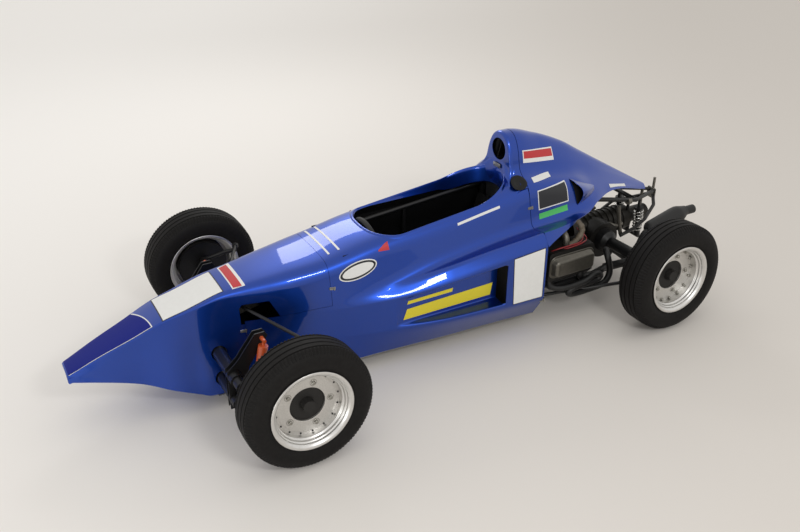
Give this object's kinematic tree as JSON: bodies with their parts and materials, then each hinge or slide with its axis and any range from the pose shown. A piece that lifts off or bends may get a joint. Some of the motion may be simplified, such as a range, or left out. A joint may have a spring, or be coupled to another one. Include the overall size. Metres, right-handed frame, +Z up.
{
  "type": "open wheel single-seater racing car",
  "caption": "Slim single-seater open wheel racing car: wedge nose, open cockpit, roll hoop fairing, side pods, torsion-tube front axle, exposed air-cooled engine and swing-axle rear.",
  "frame": {"origin": "on the floor, at the middle of the car's length and width", "axes": "+X to the nose, +Y to the car's left, +Z up"},
  "size_m": [3.393, 1.5624, 0.9849],
  "materials": {
    "blue_paint": "metallic gloss lacquer",
    "tyre_rubber": "matt",
    "wheel_alloy": "machined and polished",
    "drum_iron": "dull, dusty",
    "sheet_aluminium": "brushed",
    "cast_alloy": "sand cast",
    "polished_steel": "satin",
    "black_shell": "matt",
    "grip_leather": "grained",
    "damper_paint": "gloss",
    "black_steel": "satin"
  },
  "bodies": {
    "chassis": {"axle_tubes": "black_steel", "centre_body": "blue_paint", "crankcase": "cast_alloy", "cylinder_heads": "cast_alloy", "dash_panel": "sheet_aluminium", "engine_cover": "blue_paint", "exhaust_headers": "black_steel", "firewall": "sheet_aluminium", "floor_pan": "sheet_aluminium", "front_beam": "black_steel", "front_dampers": "damper_paint", "gearbox": "cast_alloy", "intake": "cast_alloy", "king_pins": "black_steel", "main_frame": "black_steel", "muffler": "black_steel", "nose_section": "blue_paint", "pedals": "black_steel", "radius_rods": "black_steel", "rear_frame": "black_steel", "rear_spring": "polished_steel", "rocker_covers": "polished_steel", "seat": "black_shell", "shift_linkage": "cast_alloy", "steering_box": "cast_alloy", "steering_column": "black_steel", "trailing_arms": "black_steel"},
    "wheel_front_left": {"tyre_front_left": "tyre_rubber", "rim_front_left": "wheel_alloy", "drum_front_left": "drum_iron"},
    "wheel_front_right": {"tyre_front_right": "tyre_rubber", "rim_front_right": "wheel_alloy", "drum_front_right": "drum_iron"},
    "wheel_rear_left": {"tyre_rear_left": "tyre_rubber", "rim_rear_left": "wheel_alloy", "drum_rear_left": "drum_iron"},
    "wheel_rear_right": {"tyre_rear_right": "tyre_rubber", "rim_rear_right": "wheel_alloy", "drum_rear_right": "drum_iron"},
    "steer_left": {"knuckle_left": "black_steel"},
    "steer_right": {"knuckle_right": "black_steel"},
    "rod_left": {"track_rod_left": "black_steel"},
    "rod_right": {"track_rod_right": "black_steel"},
    "steering_wheel": {"steering_wheel": "grip_leather"}
  },
  "joints": [
    {"name": "steer_left", "type": "hinge", "parent": "chassis", "child": "steer_left", "pos_m": [0.8735, 0.566, 0.28311], "axis": [0, 0, 1], "range_deg": [-25, 25]},
    {"name": "steer_right", "type": "hinge", "parent": "chassis", "child": "steer_right", "pos_m": [0.8735, -0.566, 0.28311], "axis": [0, 0, 1], "range_deg": [-25, 25]},
    {"name": "rod_left", "type": "hinge", "parent": "steer_left", "child": "rod_left", "pos_m": [0.7235, 0.536, 0.405], "axis": [0, 0, 1], "range_deg": [-25, 25]},
    {"name": "rod_right", "type": "hinge", "parent": "steer_right", "child": "rod_right", "pos_m": [0.7235, -0.536, 0.405], "axis": [0, 0, 1], "range_deg": [-25, 25]},
    {"name": "steering_wheel_turn", "type": "hinge", "parent": "chassis", "child": "steering_wheel", "pos_m": [0.2185, 0, 0.54], "axis": [-0.9781, 0, 0.2079], "range_deg": [-175, 175]},
    {"name": "spin_front_left", "type": "hinge", "parent": "steer_left", "child": "wheel_front_left", "pos_m": [0.8735, 0.686, 0.28711], "axis": [0, 0.999, 0.0454], "continuous": true},
    {"name": "spin_front_right", "type": "hinge", "parent": "steer_right", "child": "wheel_front_right", "pos_m": [0.8735, -0.686, 0.28711], "axis": [0, -0.999, 0.0454], "continuous": true},
    {"name": "spin_rear_left", "type": "hinge", "parent": "chassis", "child": "wheel_rear_left", "pos_m": [-1.2095, 0.636, 0.29166], "axis": [0, 0.9989, 0.0471], "continuous": true},
    {"name": "spin_rear_right", "type": "hinge", "parent": "chassis", "child": "wheel_rear_right", "pos_m": [-1.2095, -0.636, 0.29166], "axis": [0, -0.9989, 0.0471], "continuous": true}
  ],
  "couplings": [
    {"joint": "steer_right", "follows": "steer_left", "ratio": 1},
    {"joint": "rod_left", "follows": "steer_left", "ratio": -1},
    {"joint": "rod_right", "follows": "steer_left", "ratio": -1},
    {"joint": "steering_wheel_turn", "follows": "steer_left", "ratio": 7}
  ]
}
